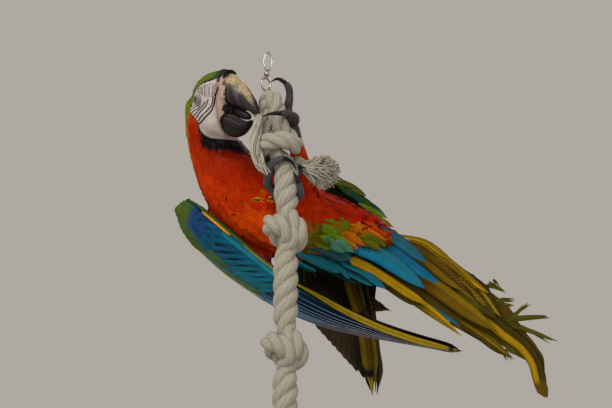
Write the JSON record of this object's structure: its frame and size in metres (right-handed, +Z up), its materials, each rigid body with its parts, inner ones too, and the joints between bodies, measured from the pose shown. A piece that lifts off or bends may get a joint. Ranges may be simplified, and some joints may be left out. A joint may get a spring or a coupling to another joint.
{
  "type": "macaw",
  "caption": "Life-size hybrid macaw climbing a knotted cotton rope and biting a loose strand, held on a round display stand.",
  "frame": {"origin": "centre of the stand base's underside, on the rope's axis", "axes": "+Z up along the rope; -Y is the side that the bird's belly faces, with the rope between it and the viewer; +X is the way the tail points"},
  "size_m": [0.5317, 0.3543, 0.662],
  "materials": {
    "feather_green": "crown and nape feathers, soft sheen",
    "feather_red": "orange-red body feathers over the flesh",
    "feather_blue": "blue and teal wing feathers and coverts",
    "feather_dark": "dark wing feathers with golden stripes below",
    "feather_gold": "olive-gold underside of the tail",
    "horn": "dark horn, half gloss, pale along the ridge of the upper bill",
    "eye": "wet gloss",
    "foot_skin": "dark grey scaled skin",
    "cotton": "white twisted cotton, slightly soiled",
    "steel": "brushed",
    "wood": "dark stained, satin"
  },
  "bodies": {
    "root": {"head": "feather_green", "neck": "feather_red", "trunk": "feather_red", "thigh_right": "feather_red", "thigh_left": "feather_red", "wing_right_coverts": "feather_blue", "wing_right_flight": "feather_blue", "tail_coverts": "feather_blue", "wing_left_coverts": "feather_dark", "wing_left_flight": "feather_dark", "tail": "feather_gold", "bill_upper": "horn", "bill_lower": "horn", "tongue": "horn", "eye_right": "eye", "eye_left": "eye", "foot_right": "foot_skin", "foot_left": "foot_skin", "toe_right_1": "foot_skin", "claw_right_1": "horn", "toe_right_2": "foot_skin", "claw_right_2": "horn", "toe_right_3": "foot_skin", "claw_right_3": "horn", "toe_right_4": "foot_skin", "claw_right_4": "horn", "toe_left_1": "foot_skin", "claw_left_1": "horn", "toe_left_2": "foot_skin", "claw_left_2": "horn", "toe_left_3": "foot_skin", "claw_left_3": "horn", "toe_left_4": "foot_skin", "claw_left_4": "horn", "rope_end": "cotton", "rope_lower": "cotton", "rope_upper": "cotton", "rope_knot_low": "cotton", "rope_knot_mid": "cotton", "rope_knot_top": "cotton", "rope_tassel": "cotton", "rope_strand": "cotton", "hook_ring": "steel", "hook_link": "steel", "hook_swivel": "steel", "stand_rod": "steel", "stand_socket": "steel", "stand_base": "wood"}
  },
  "joints": []
}
